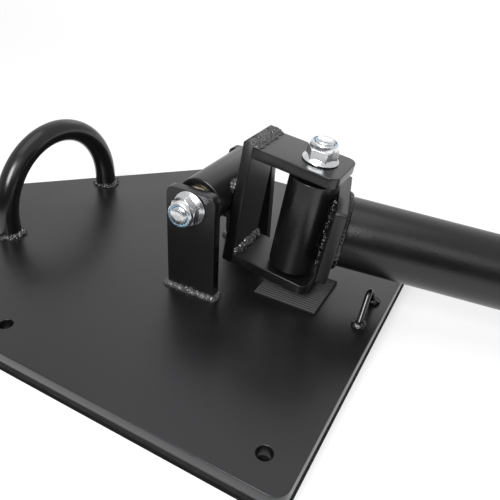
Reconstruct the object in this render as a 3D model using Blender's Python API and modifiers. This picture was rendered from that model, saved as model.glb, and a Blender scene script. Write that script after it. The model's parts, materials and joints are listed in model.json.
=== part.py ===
"""Pivot base plate for a barbell, in metres with +Z up.

A barbell's sleeve slides into an open steel barrel. The barrel turns sideways about an upright bolt
in a bracket, and the bracket tilts about a level bolt between two uprights, which stand welded on a
heavy plate with a rubber mat under it. The floor is z = 0, and the level bolt crosses above the
origin, along Y. +X is the way the barrel points, and near is the side of -Y.
"""

import math

import bmesh
import bpy
from mathutils import Matrix, Vector

# Fits
SEAT_GAP = 0.0003
RUN_CLEARANCE = 0.0003
SWIVEL_PLAY = 0.0014
CUT_PAST = 0.001

# Flat bar for the uprights and the bracket
BAR_WIDTH = 0.050
BAR_THICK = 0.010
EDGE = 0.0008

# Floor plate and mat, seen from above
PLATE_THICK = 0.010
MAT_THICK = 0.010
PLATE_HALF_WIDTH = 0.207
PLATE_FRONT = 0.167
PLATE_SHOULDER = 0.118
PLATE_TAIL = 0.320
PLATE_CORNER = 0.012
BOLT_DOWN_RADIUS = 0.006
BOLT_DOWN_INSET = 0.0265
BOLT_DOWN_BACK = 0.1056

# Uprights and the level pivot
PIVOT_HEIGHT = 0.0888
UPRIGHT_OVER_PIVOT = 0.0155
UPRIGHT_CORNER = 0.007

# Fasteners, both M16
BOLT_RADIUS = 0.008
BOLT_END_CHAMFER = 0.0015
HEX_FLATS = 0.024
HEX_CHAMFER = math.radians(30)
HEAD_HEIGHT = 0.010
HEAD_FACE_RADIUS = 0.0114
WASHER_RADIUS = 0.015
WASHER_THICK = 0.003
NUT_HEIGHT = 0.0168
NUT_FLANGE_RADIUS = 0.0158
NUT_FLANGE_EDGE = 0.0016
NUT_FLANGE_RISE = 0.0045
NUT_HEX_BOTTOM = 0.0030
NUT_HEX_TOP = 0.0122
NUT_COLLAR_RADIUS = 0.0119
NUT_SHOULDER = 0.0016
INSERT_RADIUS = 0.0098
INSERT_DEPTH = 0.0032
INSERT_SINK = 0.0004
THREAD_SHOW = 0.0022
PIVOT_NUT_TURN = math.radians(-8)
SWIVEL_NUT_TURN = math.radians(-24)

# Pivot and swivel tubes with their bushes
TUBE_RADIUS = 0.02225
TUBE_BORE = 0.01225
PIVOT_TUBE_LENGTH = 0.090
PIVOT_BUSH_FLANGE = 0.0034
BUSH_FLANGE_RADIUS = 0.015
BUSH_SLEEVE_LENGTH = 0.020
SWIVEL_BUSH_FLANGE = 0.0032

# Bracket, in its own tilted frame
BRACKET_DROP = 0.0625
BRACKET_HEIGHT = 0.121
BRACKET_LIP = 0.0025
BRACKET_REACH = 0.109
BRACKET_CORNER = 0.008
SWIVEL_SETBACK = 0.0255

# Swivelling barrel
SWIVEL_TURN = math.radians(16.6)
SWIVEL_PLATE_WIDTH = 0.074
SWIVEL_PLATE_HEIGHT = 0.073
SWIVEL_PLATE_CORNER = 0.003
BARREL_RADIUS = 0.03175
BARREL_WALL = 0.005
BARREL_LENGTH = 0.200

# Bump pad
PAD_LENGTH = 0.061
PAD_WIDTH = 0.059
PAD_THICK = 0.003
PAD_BACK = 0.0525
RIB_COUNT = 20
RIB_HEIGHT = 0.0007

# Carrying loop and the eyelet for a band or chain
LOOP_ROD_RADIUS = 0.012
LOOP_BEND_RADIUS = 0.0763
LOOP_LEG = 0.0145
LOOP_BACK = 0.2195
EYELET_ROD_RADIUS = 0.00375
EYELET_BEND_RADIUS = 0.0205
EYELET_LEG = 0.0015
EYELET_FRONT = 0.152

# Weld beads. A groove bead's three sizes are shares of the tube's radius
WELD_LEG = 0.0043
EYELET_WELD_LEG = 0.0035
BRACKET_WELD_LEG = 0.0060
BRACKET_WELD_OVER = 0.0045
BRACKET_WELD_CROWN = 0.0008
WELD_BULGE = 0.12
FOOT_BEAD_SLOPE = 0.9
FOOT_BEAD_PROFILE = 0.35
GROOVE_ROOT = 0.36
GROOVE_TOE = 0.64
GROOVE_REACH = 0.74

# Turned pieces have this many sides
FINE_STEPS = 56
ROUND_STEPS = 40
SMALL_STEPS = 32

# Worked out from the sizes above
PLATE_TOP = MAT_THICK + SEAT_GAP + PLATE_THICK
ON_PLATE = PLATE_TOP + SEAT_GAP
PIVOT_Z = PLATE_TOP + PIVOT_HEIGHT
HOLE_RADIUS = BOLT_RADIUS + RUN_CLEARANCE
UPRIGHT_INNER = PIVOT_TUBE_LENGTH / 2 + SEAT_GAP + PIVOT_BUSH_FLANGE + SEAT_GAP
UPRIGHT_OUTER = UPRIGHT_INNER + BAR_THICK
BACK_FACE = TUBE_RADIUS + SEAT_GAP
BRACKET_FACE = BACK_FACE + BAR_THICK
BRACKET_TOP = BRACKET_HEIGHT - BRACKET_DROP
SWIVEL_X = BRACKET_REACH - SWIVEL_SETBACK
SWIVEL_TUBE_BOTTOM = BAR_THICK - BRACKET_DROP + 2 * SEAT_GAP + SWIVEL_BUSH_FLANGE
SWIVEL_TUBE_TOP = BRACKET_TOP - BAR_THICK - SWIVEL_PLAY - SEAT_GAP - SWIVEL_BUSH_FLANGE
SWIVEL_MIDDLE = (SWIVEL_TUBE_BOTTOM + SWIVEL_TUBE_TOP) / 2
BARREL_START = BRACKET_FACE + SEAT_GAP

# The bracket hangs down until the head of the swivel bolt lies on the bump pad
HEAD_REACH = SWIVEL_X + HEAD_FACE_RADIUS
HEAD_DROP = BRACKET_DROP + SEAT_GAP + HEAD_HEIGHT
PAD_TOP_BELOW_PIVOT = PIVOT_HEIGHT - SEAT_GAP - PAD_THICK - SEAT_GAP
BRACKET_TILT = math.asin(PAD_TOP_BELOW_PIVOT / math.hypot(HEAD_REACH, HEAD_DROP)) - math.atan2(
    HEAD_DROP, HEAD_REACH
)

# Turns of a piece drawn flat, or turned about Z, to the way it stands
LEVEL = (0.0, 0.0, 0.0)
FACING_Y = (math.pi / 2, 0.0, 0.0)
FACING_X = (math.pi / 2, 0.0, math.pi / 2)
POINTING_NEAR = (math.pi / 2, 0.0, 0.0)
POINTING_FAR = (-math.pi / 2, 0.0, 0.0)
POINTING_FRONT = (0.0, math.pi / 2, 0.0)
UPSIDE_DOWN = (math.pi, 0.0, 0.0)


# Scene


def cleared_scene():
    """Remove every object, and return the collections for the parts and for the cutters."""
    for old in list(bpy.data.objects):
        bpy.data.objects.remove(old)
    made = []
    for name in ("barbell_pivot_base_plate", "cutters"):
        group = bpy.data.collections.new(name)
        bpy.context.scene.collection.children.link(group)
        made.append(group)
    return made


PARTS, CUTTERS = cleared_scene()


def joint_frame(name, location, rotation, parent=None):
    """An empty on a joint's axis, which carries the pieces that turn with it."""
    empty = bpy.data.objects.new(name, None)
    empty.empty_display_size = BAR_WIDTH
    empty.location = location
    empty.rotation_euler = rotation
    empty.parent = parent
    PARTS.objects.link(empty)
    return empty


def placed(piece, location, rotation=LEVEL, parent=None):
    """Stand a piece at its place in its parent's frame."""
    piece.location = location
    piece.rotation_euler = rotation
    piece.parent = parent
    return piece


def as_cutter(piece):
    """Move a piece to the cutters, which only shape other pieces."""
    PARTS.objects.unlink(piece)
    CUTTERS.objects.link(piece)
    piece.hide_render = True
    piece.display_type = "WIRE"
    return piece


def combined(piece, tool, operation):
    """Cut, join or trim a piece with a cutter that stays live."""
    boolean = piece.modifiers.new(operation.lower(), "BOOLEAN")
    boolean.operation = operation
    boolean.object = tool
    return piece


# Materials


def material(name, colour, roughness, metallic):
    """A Principled BSDF with one colour, roughness and metallic value."""
    made = bpy.data.materials.new(name)
    made.use_nodes = True
    shader = made.node_tree.nodes["Principled BSDF"]
    shader.inputs["Base Color"].default_value = (*colour, 1.0)
    shader.inputs["Roughness"].default_value = roughness
    shader.inputs["Metallic"].default_value = metallic
    made.diffuse_color = (*colour, 1.0)
    return made


POWDER_COAT = material("black_powder_coat", (0.022, 0.022, 0.024), 0.38, 0.0)
COATED_WELD = material("coated_weld_bead", (0.030, 0.030, 0.033), 0.30, 0.0)
ZINC = material("zinc_plated_steel", (0.62, 0.63, 0.66), 0.28, 1.0)
NYLON = material("blue_nylon", (0.05, 0.14, 0.45), 0.45, 0.0)
BRONZE = material("bearing_bronze", (0.50, 0.36, 0.18), 0.40, 1.0)
RUBBER = material("black_rubber", (0.020, 0.020, 0.020), 0.85, 0.0)
RIBBED_RUBBER = material("ribbed_pad_rubber", (0.050, 0.050, 0.053), 0.60, 0.0)


# Ways of making a shape


def linked(name, data, finish):
    """A new part with its material."""
    piece = bpy.data.objects.new(name, data)
    data.materials.append(finish)
    PARTS.objects.link(piece)
    return piece


def as_mesh(curve_piece):
    """The curve's shape as a closed mesh of the same name, for cuts and for smooth shading."""
    name = curve_piece.name
    graph = bpy.context.evaluated_depsgraph_get()
    data = bpy.data.meshes.new_from_object(curve_piece.evaluated_get(graph))
    curve = curve_piece.data
    finish = curve.materials[0]
    bpy.data.objects.remove(curve_piece)
    bpy.data.curves.remove(curve)
    shape = bmesh.new()
    shape.from_mesh(data)
    bmesh.ops.remove_doubles(shape, verts=shape.verts, dist=0.00001)
    bmesh.ops.recalc_face_normals(shape, faces=shape.faces)
    shape.to_mesh(data)
    shape.free()
    data.materials.clear()
    data.name = name
    return linked(name, data, finish)


def smoothed(piece, angle=math.radians(35)):
    """Shade a round piece smooth, with its corners left sharp."""
    piece.data.shade_smooth()
    piece.data.set_sharp_from_angle(angle=angle)
    return piece


def circle(x, y, radius, steps=SMALL_STEPS):
    """The points of a circle."""
    turns = [2 * math.pi * step / steps for step in range(steps)]
    return [(x + radius * math.cos(turn), y + radius * math.sin(turn)) for turn in turns]


def rounded(corners, steps=6):
    """The points of an outline whose corners (x, y, radius) are rounded with arcs."""
    points = []
    for index, (x, y, radius) in enumerate(corners):
        if radius == 0:
            points.append((x, y))
            continue
        corner = Vector((x, y))
        back = (Vector(corners[index - 1][:2]) - corner).normalized()
        on = (Vector(corners[(index + 1) % len(corners)][:2]) - corner).normalized()
        half = back.angle(on) / 2
        centre = corner + (back + on).normalized() * radius / math.sin(half)
        first = corner + back * radius / math.tan(half) - centre
        swing = math.copysign(math.pi - 2 * half, on.cross(back))
        for step in range(steps + 1):
            turn = math.atan2(first.y, first.x) + swing * step / steps
            points.append((centre.x + radius * math.cos(turn), centre.y + radius * math.sin(turn)))
    return points


def flat_piece(name, outlines, thickness, finish, edge=0.0):
    """A flat outline, with any further outlines as holes, made thick about its own plane."""
    curve = bpy.data.curves.new(name, "CURVE")
    curve.dimensions = "2D"
    curve.fill_mode = "BOTH"
    curve.extrude = thickness / 2 - edge
    curve.bevel_depth = edge
    curve.bevel_resolution = 0
    curve.offset = -edge
    for outline in outlines:
        spline = curve.splines.new("POLY")
        spline.points.add(len(outline) - 1)
        spline.use_cyclic_u = True
        for point, (x, y) in zip(spline.points, outline):
            point.co = (x, y, 0.0, 1.0)
    return as_mesh(linked(name, curve, finish))


def turned(name, profile, finish, steps=ROUND_STEPS, ring=False):
    """A profile of (radius, height) turned about Z, down its outer side from top to bottom.

    A ring's profile closes on itself, and any other starts and ends on the axis.
    """
    data = bpy.data.meshes.new(name)
    count = len(profile)
    edges = [(index, index + 1) for index in range(count - 1)]
    if ring:
        edges.append((count - 1, 0))
    data.from_pydata([(radius, 0.0, height) for radius, height in profile], edges, [])
    piece = linked(name, data, finish)
    screw = piece.modifiers.new("turned", "SCREW")
    screw.steps = steps
    screw.render_steps = steps
    screw.use_merge_vertices = True
    screw.merge_threshold = 0.00001
    screw.use_smooth_shade = False
    return piece


def tube(name, radius, bore, length, finish, steps=ROUND_STEPS, edge=EDGE):
    """A tube about Z from z = 0 up, with its outer edges broken."""
    profile = [
        (bore, length),
        (radius - edge, length),
        (radius, length - edge),
        (radius, edge),
        (radius - edge, 0.0),
        (bore, 0.0),
    ]
    return turned(name, profile, finish, steps, ring=True)


def arch(name, bend_radius, leg, rod_radius, finish, bend_steps, sides):
    """A round bar bent to an arch in the YZ plane, with both feet on z = 0."""
    points = [(0.0, -bend_radius, 0.0)]
    for step in range(bend_steps + 1):
        turn = math.pi * step / bend_steps
        points.append((0.0, -bend_radius * math.cos(turn), leg + bend_radius * math.sin(turn)))
    points.append((0.0, bend_radius, 0.0))
    curve = bpy.data.curves.new(name, "CURVE")
    curve.dimensions = "3D"
    curve.bevel_depth = rod_radius
    curve.bevel_resolution = sides // 2 - 2
    curve.use_fill_caps = True
    spline = curve.splines.new("POLY")
    spline.points.add(len(points) - 1)
    for point, place in zip(spline.points, points):
        point.co = (*place, 1.0)
    return smoothed(as_mesh(linked(name, curve, finish)), math.radians(50))


def bulged(start, end, steps=3):
    """Points along a bead's face, which swells to the right of its run by WELD_BULGE of its length."""
    run = (end[0] - start[0], end[1] - start[1])
    points = []
    for step in range(steps + 1):
        along = step / steps
        swell = WELD_BULGE * math.sin(math.pi * along)
        x = start[0] + along * run[0] + swell * run[1]
        y = start[1] + along * run[1] - swell * run[0]
        points.append((x, y))
    return points


# Welds


def weld_collar(name, radius, leg, steps=SMALL_STEPS):
    """A bead round the foot of a round bar or tube, about Z from z = 0 up."""
    inner = radius + SEAT_GAP
    face = bulged((inner + leg, 0.0), (inner, leg))
    profile = list(reversed(face)) + [(inner, 0.0)]
    return turned(name, profile, COATED_WELD, steps, ring=True)


def weld_frame(name, length, width, leg):
    """A bead round the foot of a flat bar of length along X and width along Y, from z = 0 up."""
    data = bpy.data.meshes.new(name)
    shape = bmesh.new()
    bmesh.ops.create_cube(shape, size=1.0)
    bmesh.ops.scale(shape, vec=(length + 2 * leg, width + 2 * leg, leg), verts=shape.verts)
    bmesh.ops.translate(shape, vec=(0.0, 0.0, leg / 2), verts=shape.verts)
    raised = [edge for edge in shape.edges if max(vert.co.z for vert in edge.verts) > leg / 2]
    bmesh.ops.bevel(
        shape,
        geom=raised,
        offset=leg * FOOT_BEAD_SLOPE,
        segments=3,
        profile=FOOT_BEAD_PROFILE,
        affect="EDGES",
        clamp_overlap=True,
    )
    shape.to_mesh(data)
    shape.free()
    return linked(name, data, COATED_WELD)


def block(name, length, width, height):
    """A plain block about its own middle, for a cutter."""
    data = bpy.data.meshes.new(name)
    shape = bmesh.new()
    bmesh.ops.create_cube(shape, size=1.0)
    bmesh.ops.scale(shape, vec=(length, width, height), verts=shape.verts)
    shape.to_mesh(data)
    shape.free()
    return as_cutter(linked(name, data, POWDER_COAT))


def groove_bead(name, side, length):
    """The bead in the groove between a tube and the plate it touches, on one side of the tube.

    The tube's axis is z and the plate faces it at x = BACK_FACE.
    """
    hug = TUBE_RADIUS + SEAT_GAP
    plate_face = BACK_FACE - SEAT_GAP
    root, toe, cap = GROOVE_ROOT * hug, GROOVE_TOE * hug, GROOVE_REACH * hug
    steps = 4
    angles = [math.asin((root + (toe - root) * step / steps) / hug) for step in range(steps + 1)]
    outline = [(hug * math.cos(angle), hug * math.sin(angle)) for angle in angles]
    outline += bulged((plate_face, cap), outline[-1])[-2:0:-1]
    outline += [(plate_face, cap), (plate_face, root)]
    return flat_piece(name, [[(x, side * y) for x, y in outline]], length, COATED_WELD)


def corner_bead(name, leg, length):
    """A bead in the corner between a level plate and a wall on its left, in the XY plane."""
    outline = [(0.0, 0.0), *bulged((leg, 0.0), (0.0, leg))]
    return flat_piece(name, [outline], length, COATED_WELD)


def lip_bead(name, leg, lip, over, crown, length):
    """A bead from a level plate over the top of a low lip on its left, in the XY plane."""
    outline = [(0.0, lip), (0.0, 0.0), *bulged((leg, 0.0), (0.0, lip + crown))]
    outline += bulged((0.0, lip + crown), (-over, lip))[1:]
    return flat_piece(name, [outline], length, COATED_WELD)


# Fasteners


def hexagon(name, bottom, top, turn=0.0, chamfer_bottom=False):
    """A hexagonal prism about Z, whose corners are turned off at one end like a real nut's."""
    data = bpy.data.meshes.new(name)
    shape = bmesh.new()
    corner = HEX_FLATS / math.sqrt(3)
    bmesh.ops.create_cone(
        shape,
        cap_ends=True,
        segments=6,
        radius1=corner,
        radius2=corner,
        depth=top - bottom,
        matrix=Matrix.Rotation(turn, 4, "Z"),
    )
    bmesh.ops.translate(shape, vec=(0.0, 0.0, (top + bottom) / 2), verts=shape.verts)
    shape.to_mesh(data)
    shape.free()
    piece = linked(name, data, ZINC)
    wide = HEX_FLATS
    fall = (wide - HEAD_FACE_RADIUS) * math.tan(HEX_CHAMFER)
    if chamfer_bottom:
        profile = [(0.0, top + CUT_PAST), (wide, top + CUT_PAST), (wide, bottom + fall)]
        profile += [(HEAD_FACE_RADIUS, bottom), (0.0, bottom)]
    else:
        under = bottom - CUT_PAST - fall
        profile = [(0.0, top), (HEAD_FACE_RADIUS, top), (wide, top - fall), (wide, under), (0.0, under)]
    cone = as_cutter(turned(name + "_chamfer", profile, ZINC, ROUND_STEPS))
    return combined(piece, cone, "INTERSECT"), cone


def hex_bolt(name, grip, parent, location, rotation):
    """A hex-head bolt: its head hangs under z = 0 and its threaded end points up."""
    length = grip + NUT_HEIGHT + THREAD_SHOW
    profile = [
        (0.0, length),
        (BOLT_RADIUS - BOLT_END_CHAMFER, length),
        (BOLT_RADIUS, length - BOLT_END_CHAMFER),
        (BOLT_RADIUS, -HEAD_HEIGHT / 2),
        (0.0, -HEAD_HEIGHT / 2),
    ]
    bolt = turned(name, profile, ZINC, SMALL_STEPS)
    head, chamfer = hexagon(name + "_head", -HEAD_HEIGHT, 0.0, chamfer_bottom=True)
    as_cutter(head)
    for piece in (bolt, head, chamfer):
        placed(piece, location, rotation, parent)
    return combined(bolt, head, "UNION")


def flange_nut(name, turn, parent, location, rotation):
    """A locking flange nut on z = 0, with a rounded collar at the top that holds a nylon ring."""
    shoulder = (NUT_COLLAR_RADIUS - NUT_SHOULDER, NUT_HEIGHT - NUT_SHOULDER)
    profile = [
        (0.0, NUT_HEIGHT),
        *circle(*shoulder, NUT_SHOULDER, 12)[3::-1],
        (NUT_COLLAR_RADIUS, NUT_FLANGE_RISE),
        (NUT_FLANGE_RADIUS, NUT_FLANGE_EDGE),
        (NUT_FLANGE_RADIUS, 0.0),
        (0.0, 0.0),
    ]
    nut = turned(name, profile, ZINC, ROUND_STEPS)
    flats, chamfer = hexagon(name + "_hex", NUT_HEX_BOTTOM, NUT_HEX_TOP, turn)
    as_cutter(flats)
    recess = INSERT_RADIUS + SEAT_GAP
    seat = NUT_HEIGHT - INSERT_SINK - INSERT_DEPTH - SEAT_GAP
    bore_profile = [
        (0.0, 2 * NUT_HEIGHT),
        (recess, 2 * NUT_HEIGHT),
        (recess, seat),
        (HOLE_RADIUS, seat),
        (HOLE_RADIUS, -NUT_HEIGHT),
        (0.0, -NUT_HEIGHT),
    ]
    bore = as_cutter(turned(name + "_bore", bore_profile, ZINC, SMALL_STEPS))
    for piece in (nut, flats, chamfer, bore):
        placed(piece, location, rotation, parent)
    combined(nut, flats, "UNION")
    combined(nut, bore, "DIFFERENCE")
    insert = tube(name + "_insert", INSERT_RADIUS, HOLE_RADIUS, INSERT_DEPTH, NYLON, SMALL_STEPS, EDGE / 2)
    placed(insert, location, rotation, parent)
    for vertex in insert.data.vertices:
        vertex.co.z += seat + SEAT_GAP
    return nut


def bush(name, flange, parent, location, rotation):
    """A flanged bush: its flange lies on the tube's end at z = 0 and its sleeve goes down the bore."""
    sleeve = TUBE_BORE - SEAT_GAP
    profile = [
        (HOLE_RADIUS, SEAT_GAP + flange),
        (BUSH_FLANGE_RADIUS, SEAT_GAP + flange),
        (BUSH_FLANGE_RADIUS, SEAT_GAP),
        (sleeve, SEAT_GAP),
        (sleeve, -BUSH_SLEEVE_LENGTH),
        (HOLE_RADIUS, -BUSH_SLEEVE_LENGTH),
    ]
    return placed(turned(name, profile, BRONZE, SMALL_STEPS, ring=True), location, rotation, parent)


# Base


def plate_outline():
    """The plate from above: square at the front, with a tail that narrows to a blunt point."""
    return rounded(
        [
            (PLATE_FRONT, -PLATE_HALF_WIDTH, PLATE_CORNER),
            (PLATE_FRONT, PLATE_HALF_WIDTH, PLATE_CORNER),
            (-PLATE_SHOULDER, PLATE_HALF_WIDTH, PLATE_CORNER),
            (-PLATE_TAIL, 0.0, PLATE_CORNER),
            (-PLATE_SHOULDER, -PLATE_HALF_WIDTH, PLATE_CORNER),
        ]
    )


def bolt_down_holes():
    """One hole near each of the four square corners."""
    beside = PLATE_HALF_WIDTH - BOLT_DOWN_INSET
    places = [(x, y) for x in (PLATE_FRONT - BOLT_DOWN_INSET, -BOLT_DOWN_BACK) for y in (-beside, beside)]
    return [circle(x, y, BOLT_DOWN_RADIUS, 24) for x, y in places]


def floor_mat():
    mat = flat_piece("floor_mat", [plate_outline(), *bolt_down_holes()], MAT_THICK, RUBBER)
    return placed(mat, (0.0, 0.0, MAT_THICK / 2))


def base_plate():
    plate = flat_piece("base_plate", [plate_outline(), *bolt_down_holes()], PLATE_THICK, POWDER_COAT, EDGE)
    return placed(plate, (0.0, 0.0, PLATE_TOP - PLATE_THICK / 2))


def carry_loop():
    loop = arch("carry_loop", LOOP_BEND_RADIUS, LOOP_LEG, LOOP_ROD_RADIUS, POWDER_COAT, 26, 20)
    placed(loop, (-LOOP_BACK, 0.0, ON_PLATE))
    for side, y in (("near", -LOOP_BEND_RADIUS), ("far", LOOP_BEND_RADIUS)):
        collar = smoothed(weld_collar("loop_weld_" + side, LOOP_ROD_RADIUS, WELD_LEG))
        placed(collar, (-LOOP_BACK, y, ON_PLATE))


def anchor_eyelet():
    eyelet = arch("anchor_eyelet", EYELET_BEND_RADIUS, EYELET_LEG, EYELET_ROD_RADIUS, POWDER_COAT, 18, 12)
    placed(eyelet, (EYELET_FRONT, 0.0, ON_PLATE))
    for side, y in (("near", -EYELET_BEND_RADIUS), ("far", EYELET_BEND_RADIUS)):
        collar = weld_collar("eyelet_weld_" + side, EYELET_ROD_RADIUS, EYELET_WELD_LEG, 20)
        placed(collar, (EYELET_FRONT, y, ON_PLATE))


def upright(side, sign):
    """A flat-bar ear with its top corners rounded and a bolt hole at the pivot."""
    top = PIVOT_HEIGHT + UPRIGHT_OVER_PIVOT
    half = BAR_WIDTH / 2
    outline = rounded(
        [
            (-half, SEAT_GAP, 0),
            (half, SEAT_GAP, 0),
            (half, top, UPRIGHT_CORNER),
            (-half, top, UPRIGHT_CORNER),
        ]
    )
    hole = circle(0.0, PIVOT_HEIGHT, HOLE_RADIUS)
    ear = flat_piece("upright_" + side, [outline, hole], BAR_THICK, POWDER_COAT, EDGE)
    middle = sign * (UPRIGHT_INNER + BAR_THICK / 2)
    placed(ear, (0.0, middle, PLATE_TOP), FACING_Y)
    weld = weld_frame("upright_weld_" + side, BAR_WIDTH, BAR_THICK, WELD_LEG)
    placed(weld, (0.0, middle, ON_PLATE))
    foot = block("upright_foot_" + side, BAR_WIDTH + 2 * SEAT_GAP, BAR_THICK + 2 * SEAT_GAP, BAR_WIDTH)
    placed(foot, (0.0, middle, ON_PLATE))
    combined(weld, foot, "DIFFERENCE")


def bump_pad():
    """A rubber pad with ribs along X, drawn across its width."""
    half = PAD_WIDTH / 2
    pitch = PAD_WIDTH / RIB_COUNT
    valley = PAD_THICK - RIB_HEIGHT
    outline = [(-half, 0.0), (half, 0.0), (half, valley)]
    for rib in range(RIB_COUNT):
        right = half - rib * pitch
        outline += [(right - 0.2 * pitch, PAD_THICK), (right - 0.6 * pitch, PAD_THICK)]
        outline.append((right - 0.8 * pitch, valley))
    outline.append((-half, valley))
    pad = flat_piece("bump_pad", [outline], PAD_LENGTH, RIBBED_RUBBER)
    return placed(pad, (PAD_BACK + PAD_LENGTH / 2, 0.0, ON_PLATE), FACING_X)


def pivot_bolt_set():
    """The level bolt: its head and washer are on the far side and its nut on the near side."""
    head_face = UPRIGHT_OUTER + SEAT_GAP + WASHER_THICK + SEAT_GAP
    nut_face = UPRIGHT_OUTER + SEAT_GAP
    hex_bolt("pivot_bolt", head_face + nut_face, None, (0.0, head_face, PIVOT_Z), POINTING_NEAR)
    washer = tube("pivot_washer", WASHER_RADIUS, HOLE_RADIUS, WASHER_THICK, ZINC, SMALL_STEPS, EDGE / 2)
    placed(washer, (0.0, UPRIGHT_OUTER + SEAT_GAP, PIVOT_Z), POINTING_FAR)
    flange_nut("pivot_nut", PIVOT_NUT_TURN, None, (0.0, -nut_face, PIVOT_Z), POINTING_NEAR)


# Bracket


def pivot_tube(bracket):
    end = PIVOT_TUBE_LENGTH / 2
    sleeve = tube("pivot_tube", TUBE_RADIUS, TUBE_BORE, PIVOT_TUBE_LENGTH, POWDER_COAT)
    placed(smoothed(sleeve), (0.0, end, 0.0), POINTING_NEAR, bracket)
    bush("pivot_bush_near", PIVOT_BUSH_FLANGE, bracket, (0.0, -end, 0.0), POINTING_NEAR)
    bush("pivot_bush_far", PIVOT_BUSH_FLANGE, bracket, (0.0, end, 0.0), POINTING_FAR)
    for name, side in (("pivot_tube_weld_upper", 1), ("pivot_tube_weld_lower", -1)):
        placed(groove_bead(name, side, BAR_WIDTH - 2 * EDGE), (0.0, 0.0, 0.0), FACING_Y, bracket)


def bracket_back_plate(bracket):
    """The plate that carries the pivot tube behind and the two arms in front."""
    half = BAR_WIDTH / 2
    low, high = -BRACKET_DROP, BRACKET_TOP + BRACKET_LIP
    outline = [(-half, low), (half, low), (half, high), (-half, high)]
    back = flat_piece("bracket_back_plate", [outline], BAR_THICK, POWDER_COAT, EDGE)
    placed(back, (BACK_FACE + BAR_THICK / 2, 0.0, 0.0), FACING_X, bracket)


def bracket_arm(name, height, bracket):
    """A level arm with rounded outer corners and a hole for the swivel bolt."""
    half = BAR_WIDTH / 2
    start = BRACKET_FACE + SEAT_GAP
    outline = rounded(
        [
            (start, -half, 0),
            (BRACKET_REACH, -half, BRACKET_CORNER),
            (BRACKET_REACH, half, BRACKET_CORNER),
            (start, half, 0),
        ]
    )
    hole = circle(SWIVEL_X, 0.0, HOLE_RADIUS)
    arm = flat_piece(name, [outline, hole], BAR_THICK, POWDER_COAT, EDGE)
    placed(arm, (0.0, 0.0, height), LEVEL, bracket)


def bracket_welds(bracket):
    """A bead from the upper arm over the back plate's lip, and one on the lower arm's inside."""
    corner_x = BRACKET_FACE + SEAT_GAP
    length = BAR_WIDTH - 2 * EDGE
    top = lip_bead(
        "bracket_weld_top", BRACKET_WELD_LEG, BRACKET_LIP, BRACKET_WELD_OVER, BRACKET_WELD_CROWN, length
    )
    placed(top, (corner_x, 0.0, BRACKET_TOP + SEAT_GAP), FACING_Y, bracket)
    bottom = corner_bead("bracket_weld_bottom", BRACKET_WELD_LEG, length)
    placed(bottom, (corner_x, 0.0, BAR_THICK - BRACKET_DROP + SEAT_GAP), FACING_Y, bracket)


def swivel_bolt_set(bracket):
    """The upright bolt: its head is under the lower arm and its nut on the upper one."""
    under = -BRACKET_DROP - SEAT_GAP
    over = BRACKET_TOP + SEAT_GAP
    hex_bolt("swivel_bolt", over - under, bracket, (SWIVEL_X, 0.0, under), LEVEL)
    flange_nut("swivel_nut", SWIVEL_NUT_TURN, bracket, (SWIVEL_X, 0.0, over), LEVEL)


# Swivelling barrel


def swivel_tube(swivel):
    length = SWIVEL_TUBE_TOP - SWIVEL_TUBE_BOTTOM
    sleeve = tube("swivel_tube", TUBE_RADIUS, TUBE_BORE, length, POWDER_COAT)
    placed(smoothed(sleeve), (0.0, 0.0, SWIVEL_TUBE_BOTTOM), LEVEL, swivel)
    bush("swivel_bush_upper", SWIVEL_BUSH_FLANGE, swivel, (0.0, 0.0, SWIVEL_TUBE_TOP), LEVEL)
    bush("swivel_bush_lower", SWIVEL_BUSH_FLANGE, swivel, (0.0, 0.0, SWIVEL_TUBE_BOTTOM), UPSIDE_DOWN)


def swivel_plate(swivel):
    """The plate between the swivel tube and the barrel, with its two long beads."""
    half_width, half_height = SWIVEL_PLATE_WIDTH / 2, SWIVEL_PLATE_HEIGHT / 2
    outline = rounded(
        [
            (-half_width, -half_height, SWIVEL_PLATE_CORNER),
            (half_width, -half_height, SWIVEL_PLATE_CORNER),
            (half_width, half_height, SWIVEL_PLATE_CORNER),
            (-half_width, half_height, SWIVEL_PLATE_CORNER),
        ],
        steps=3,
    )
    plate = flat_piece("swivel_plate", [outline], BAR_THICK, POWDER_COAT, EDGE)
    placed(plate, (BACK_FACE + BAR_THICK / 2, 0.0, SWIVEL_MIDDLE), FACING_X, swivel)
    for name, side in (("swivel_weld_near", -1), ("swivel_weld_far", 1)):
        bead = groove_bead(name, side, SWIVEL_PLATE_HEIGHT - 2 * EDGE)
        placed(bead, (0.0, 0.0, SWIVEL_MIDDLE), LEVEL, swivel)


def barrel(swivel):
    """The open tube that takes the barbell's sleeve."""
    bore = BARREL_RADIUS - BARREL_WALL
    sleeve = tube("barrel_tube", BARREL_RADIUS, bore, BARREL_LENGTH, POWDER_COAT, FINE_STEPS)
    placed(smoothed(sleeve), (BARREL_START, 0.0, SWIVEL_MIDDLE), POINTING_FRONT, swivel)
    bead = weld_collar("barrel_weld", BARREL_RADIUS, WELD_LEG, FINE_STEPS)
    placed(bead, (BARREL_START, 0.0, SWIVEL_MIDDLE), POINTING_FRONT, swivel)


def build():
    floor_mat()
    base_plate()
    carry_loop()
    anchor_eyelet()
    upright("near", -1)
    upright("far", 1)
    bump_pad()
    pivot_bolt_set()
    bracket = joint_frame("bracket_tilt", (0.0, 0.0, PIVOT_Z), (0.0, BRACKET_TILT, 0.0))
    pivot_tube(bracket)
    bracket_back_plate(bracket)
    bracket_arm("bracket_top_plate", BRACKET_TOP - BAR_THICK / 2, bracket)
    bracket_arm("bracket_bottom_plate", BAR_THICK / 2 - BRACKET_DROP, bracket)
    bracket_welds(bracket)
    swivel_bolt_set(bracket)
    swivel = joint_frame("barrel_swivel", (SWIVEL_X, 0.0, 0.0), (0.0, 0.0, SWIVEL_TURN), bracket)
    swivel_tube(swivel)
    swivel_plate(swivel)
    barrel(swivel)


build()
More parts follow.
